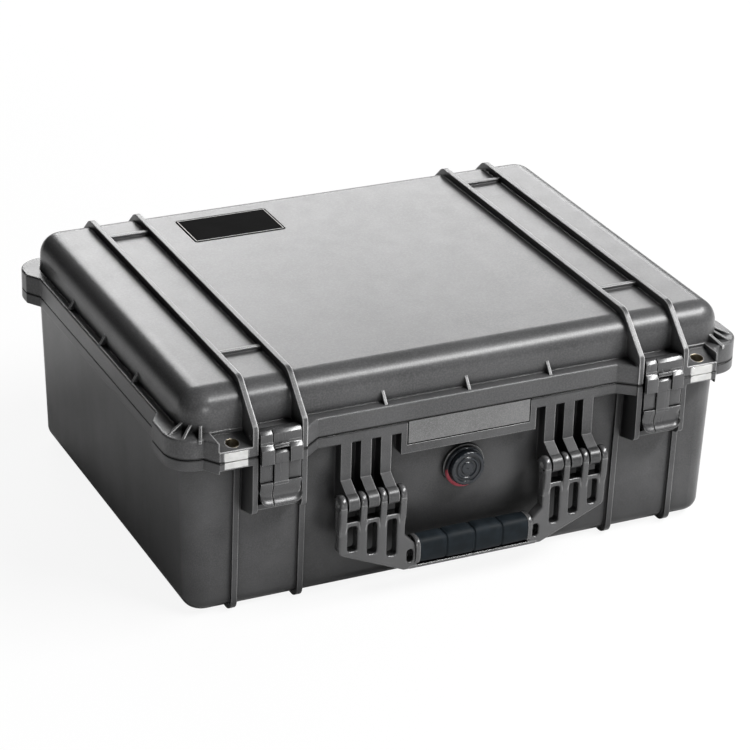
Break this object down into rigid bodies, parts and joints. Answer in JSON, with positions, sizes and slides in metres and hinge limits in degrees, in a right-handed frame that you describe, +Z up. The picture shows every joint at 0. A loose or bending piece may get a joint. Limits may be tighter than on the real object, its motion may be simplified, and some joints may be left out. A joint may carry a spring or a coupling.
{
  "type": "protective hard case",
  "caption": "Moulded protective hard case: deep ribbed base, hinged lid with seal, folding front handle, double-throw latches, padlock holes and a pressure valve.",
  "frame": {"origin": "centre of the case's bounding box at the level of the feet", "axes": "+X along the length of the case, +Y from the latches to the hinges, +Z up"},
  "size_m": [0.527, 0.429, 0.2113],
  "materials": {
    "case_plastic": "satin moulded, fine grain",
    "latch_plastic": "satin moulded",
    "plate_plastic": "satin",
    "valve_plastic": "satin",
    "gasket_rubber": "matt",
    "membrane": "matt",
    "seal_rubber": "matt",
    "grip_rubber": "matt",
    "guard_steel": "brushed",
    "pin_steel": "drawn"
  },
  "bodies": {
    "base": {"base_shell": "case_plastic", "name_plate": "plate_plastic", "valve_body": "valve_plastic", "valve_gasket": "gasket_rubber", "valve_nut": "valve_plastic", "valve_membrane": "membrane", "handle_pin_left": "pin_steel", "handle_pin_right": "pin_steel", "hinge_pin_left": "pin_steel", "hinge_pin_right": "pin_steel", "padlock_guard_base_left": "guard_steel", "padlock_guard_base_right": "guard_steel"},
    "lid": {"lid_shell": "case_plastic", "lid_seal": "seal_rubber", "lid_plate": "plate_plastic", "padlock_guard_lid_left": "guard_steel", "padlock_guard_lid_right": "guard_steel", "latch_pin_left": "pin_steel", "latch_pin_right": "pin_steel"},
    "link_left": {"latch_link_left": "latch_plastic", "lever_pin_left": "pin_steel"},
    "link_right": {"latch_link_right": "latch_plastic", "lever_pin_right": "pin_steel"},
    "lever_left": {"latch_lever_left": "latch_plastic"},
    "lever_right": {"latch_lever_right": "latch_plastic"},
    "handle": {"handle_frame": "case_plastic", "handle_grip": "grip_rubber"},
    "valve": {"valve_knob": "valve_plastic"}
  },
  "joints": [
    {"name": "lid_hinge", "type": "hinge", "parent": "base", "child": "lid", "pos_m": [0, 0.208, 0.1544], "axis": [-1, 0, 0], "range_deg": [0, 105]},
    {"name": "handle_swing", "type": "hinge", "parent": "base", "child": "handle", "pos_m": [0, -0.2065, 0.096], "axis": [-1, 0, 0], "range_deg": [0, 95]},
    {"name": "valve_turn", "type": "hinge", "parent": "base", "child": "valve", "pos_m": [0, -0.193, 0.1], "axis": [0, -1, 0], "range_deg": [0, 270]},
    {"name": "latch_swing_left", "type": "hinge", "parent": "lid", "child": "link_left", "pos_m": [-0.1762, -0.2016, 0.1694], "axis": [-1, 0, 0], "range_deg": [0, 95]},
    {"name": "latch_lever_left", "type": "hinge", "parent": "link_left", "child": "lever_left", "pos_m": [-0.1762, -0.2055, 0.1543], "axis": [-1, 0, 0], "range_deg": [0, 40]},
    {"name": "latch_swing_right", "type": "hinge", "parent": "lid", "child": "link_right", "pos_m": [0.1762, -0.2016, 0.1694], "axis": [-1, 0, 0], "range_deg": [0, 95]},
    {"name": "latch_lever_right", "type": "hinge", "parent": "link_right", "child": "lever_right", "pos_m": [0.1762, -0.2055, 0.1543], "axis": [-1, 0, 0], "range_deg": [0, 40]}
  ]
}
